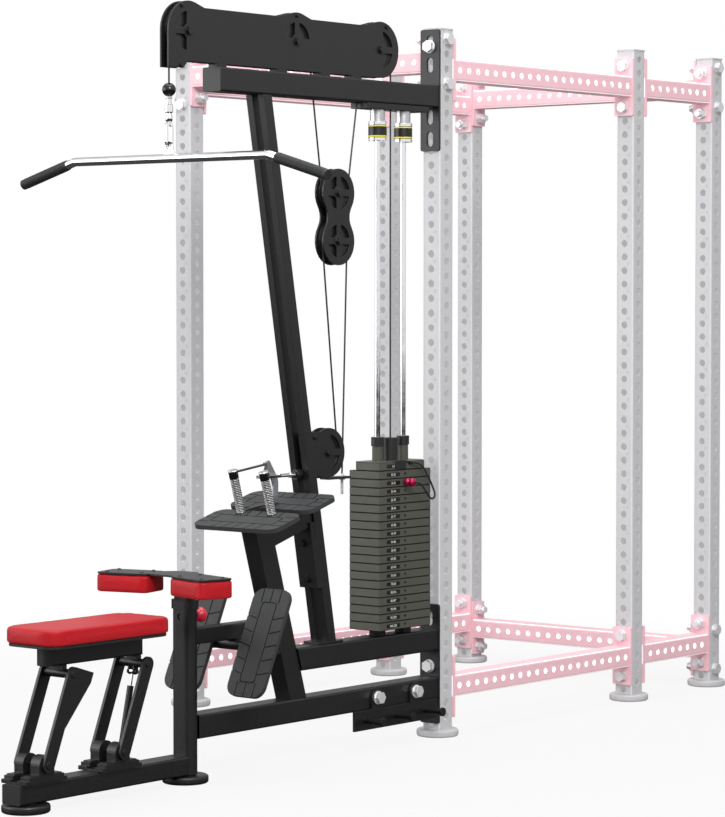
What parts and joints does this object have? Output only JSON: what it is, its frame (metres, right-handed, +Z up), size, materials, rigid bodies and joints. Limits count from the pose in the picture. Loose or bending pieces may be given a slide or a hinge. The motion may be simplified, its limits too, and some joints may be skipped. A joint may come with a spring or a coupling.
{
  "type": "power cage with lat pulldown and low row station",
  "caption": "Free-standing power cage with drilled uprights and a bolted-on lat pulldown and low row station with weight stack, pulleys, seat and thigh pads.",
  "frame": {"origin": "centre of the near front upright's foot disc, on the floor", "axes": "+X runs from the seat towards and through the cage, +Y towards the cage's far side, +Z up"},
  "size_m": [3.8198, 1.8907, 2.444],
  "materials": {
    "cage_grey": "satin light grey powder coat",
    "rail_pink": "satin pale pink powder coat",
    "zinc": "bright zinc plating",
    "cap_plastic": "moulded",
    "black_steel": "fine-textured black powder coat",
    "dark_steel": "black oxide",
    "black_plastic": "moulded nylon",
    "rubber": "moulded rubber",
    "cable": "coated cable",
    "chrome": "polished chrome",
    "stack_olive": "painted dark olive grey",
    "red_plastic": "moulded",
    "red_leather": "grained red upholstery vinyl",
    "black_gloss": "gloss black"
  },
  "bodies": {
    "frame": {"upright_front_near": "cage_grey", "upright_front_far": "cage_grey", "upright_mid_near": "cage_grey", "upright_mid_far": "cage_grey", "upright_rear_near": "cage_grey", "upright_rear_far": "cage_grey", "tube_caps": "cap_plastic", "foot_discs": "zinc", "top_rails_near": "rail_pink", "top_rails_far": "rail_pink", "bottom_rails_near": "rail_pink", "bottom_rails_far": "rail_pink", "cross_rail_front": "rail_pink", "cross_rail_rear_top": "rail_pink", "cross_rail_rear_bottom": "rail_pink", "frame_fasteners": "zinc", "top_beam": "black_steel", "pulley_housing": "black_steel", "station_bolts": "dark_steel", "main_post": "black_steel", "base_tubes": "black_steel", "platform_frame": "black_steel", "seat_rail": "black_steel", "thigh_post": "black_steel", "foot_brace": "black_steel", "tread_plates": "rubber", "peg_bracket": "black_steel", "low_pulley_bracket": "black_steel", "lat_cable": "cable", "row_cable": "cable", "guide_rods": "chrome", "rod_collars": "black_plastic", "rod_bumpers": "rubber", "resting_plates": "stack_olive", "hinge_blocks": "black_steel"},
    "lat_hook": {"lat_cable_end": "chrome"},
    "lat_bar": {"lat_bar": "chrome", "lat_bar_grips": "rubber"},
    "stack": {"lifted_plates": "stack_olive", "selector_stem": "black_steel", "lanyard": "cable"},
    "pin": {"selector_pin": "red_plastic"},
    "front_pulley": {"front_pulley": "black_plastic"},
    "middle_pulley": {"middle_pulley": "black_plastic"},
    "rear_pulley": {"rear_pulley": "black_plastic"},
    "upper_block_pulley": {"upper_block_pulley": "black_plastic"},
    "lower_block_pulley": {"lower_block_pulley": "black_plastic"},
    "low_pulley": {"low_pulley": "black_plastic"},
    "row_grip": {"row_cable_end": "chrome", "row_handle": "chrome"},
    "block": {"block_plates": "black_steel"},
    "front_link": {"front_link": "black_steel"},
    "rear_link": {"rear_link": "black_steel"},
    "seat": {"seat_pad": "red_leather", "seat_carriage": "black_steel"},
    "gas_body": {"gas_spring_body": "black_gloss"},
    "gas_rod": {"gas_spring_rod": "chrome"},
    "thigh": {"thigh_pads": "red_leather", "thigh_carrier": "black_steel"},
    "knob": {"pull_knob": "red_plastic"}
  },
  "joints": [
    {"name": "lat_pull", "type": "slide", "parent": "frame", "child": "lat_hook", "axis": [0, 0, -1], "range_m": [0, 0.95], "deforming": ["lat_cable"]},
    {"name": "lat_swivel", "type": "hinge", "parent": "lat_hook", "child": "lat_bar", "pos_m": [-1.348, 0, 2], "axis": [0, 0, 1], "range_deg": [-35, 35]},
    {"name": "stack_lift", "type": "slide", "parent": "frame", "child": "stack", "axis": [0, 0, 1], "range_m": [0, 0.95]},
    {"name": "pin_pull", "type": "slide", "parent": "stack", "child": "pin", "axis": [0, -1, 0], "range_m": [0, 0.12], "deforming": ["lanyard"]},
    {"name": "front_pulley_spin", "type": "hinge", "parent": "frame", "child": "front_pulley", "pos_m": [-1.275, 0, 2.35], "axis": [0, 1, 0], "range_deg": [-753.5, 7.8]},
    {"name": "middle_pulley_spin", "type": "hinge", "parent": "frame", "child": "middle_pulley", "pos_m": [-0.762, 0, 2.35], "axis": [0, 1, 0], "range_deg": [-753.5, 7.8]},
    {"name": "rear_pulley_spin", "type": "hinge", "parent": "frame", "child": "rear_pulley", "pos_m": [-0.334, 0, 2.35], "axis": [0, 1, 0], "range_deg": [-753.5, 7.8]},
    {"name": "row_pull", "type": "slide", "parent": "frame", "child": "row_grip", "axis": [-1, 0, 0], "range_m": [0, 0.9], "deforming": ["row_cable"]},
    {"name": "block_drop", "type": "slide", "parent": "frame", "child": "block", "axis": [0, 0, -1], "range_m": [0, 0.46]},
    {"name": "upper_block_pulley_spin", "type": "hinge", "parent": "block", "child": "upper_block_pulley", "pos_m": [-0.553, 0, 1.866], "axis": [0, 1, 0], "range_deg": [-9.1, 873.1]},
    {"name": "lower_block_pulley_spin", "type": "hinge", "parent": "block", "child": "lower_block_pulley", "pos_m": [-0.553, 0, 1.707], "axis": [0, 1, 0], "range_deg": [-418.4, 9.1]},
    {"name": "low_pulley_spin", "type": "hinge", "parent": "frame", "child": "low_pulley", "pos_m": [-0.606, 0, 1.009], "axis": [0, 1, 0], "range_deg": [-8.7, 790]},
    {"name": "front_link_swing", "type": "hinge", "parent": "frame", "child": "front_link", "pos_m": [-1.937, 0, 0.1395], "axis": [0, 1, 0], "range_deg": [-17, 23]},
    {"name": "rear_link_swing", "type": "hinge", "parent": "frame", "child": "rear_link", "pos_m": [-1.617, 0, 0.1395], "axis": [0, 1, 0], "range_deg": [-17.5, 23.5]},
    {"name": "seat_level", "type": "hinge", "parent": "front_link", "child": "seat", "pos_m": [-1.83295, 0, 0.40096], "axis": [0, 1, 0], "range_deg": [-23.5, 17.5]},
    {"name": "gas_spring_tilt", "type": "hinge", "parent": "frame", "child": "gas_body", "pos_m": [-1.575, 0, 0.11], "axis": [0, 1, 0], "range_deg": [-18.5, 25]},
    {"name": "gas_spring_stroke", "type": "slide", "parent": "gas_body", "child": "gas_rod", "axis": [0.2148, 0, 0.9767], "range_m": [-0.03, 0.03]},
    {"name": "thigh_lift", "type": "slide", "parent": "frame", "child": "thigh", "axis": [0, 0, 1], "range_m": [0, 0.15]},
    {"name": "knob_pull", "type": "slide", "parent": "frame", "child": "knob", "axis": [1, 0, 0], "range_m": [0, 0.012], "stiffness_N_per_m": 800, "springref_m": -0.01}
  ],
  "couplings": [
    {"joint": "stack_lift", "follows": "lat_pull", "ratio": 1},
    {"joint": "front_pulley_spin", "follows": "lat_pull", "rad_per_m": -13.699},
    {"joint": "middle_pulley_spin", "follows": "lat_pull", "rad_per_m": -13.699},
    {"joint": "rear_pulley_spin", "follows": "lat_pull", "rad_per_m": -13.699},
    {"joint": "upper_block_pulley_spin", "follows": "lat_pull", "rad_per_m": 15.873},
    {"joint": "block_drop", "follows": "row_pull", "ratio": 0.5},
    {"joint": "low_pulley_spin", "follows": "row_pull", "rad_per_m": 15.152},
    {"joint": "lower_block_pulley_spin", "follows": "row_pull", "rad_per_m": -7.9365},
    {"joint": "rear_link_swing", "follows": "front_link_swing", "ratio": 1},
    {"joint": "seat_level", "follows": "front_link_swing", "ratio": -1},
    {"joint": "gas_spring_tilt", "follows": "front_link_swing", "ratio": 1.0416},
    {"joint": "gas_spring_stroke", "follows": "front_link_swing", "m_per_rad": -0.04416}
  ]
}
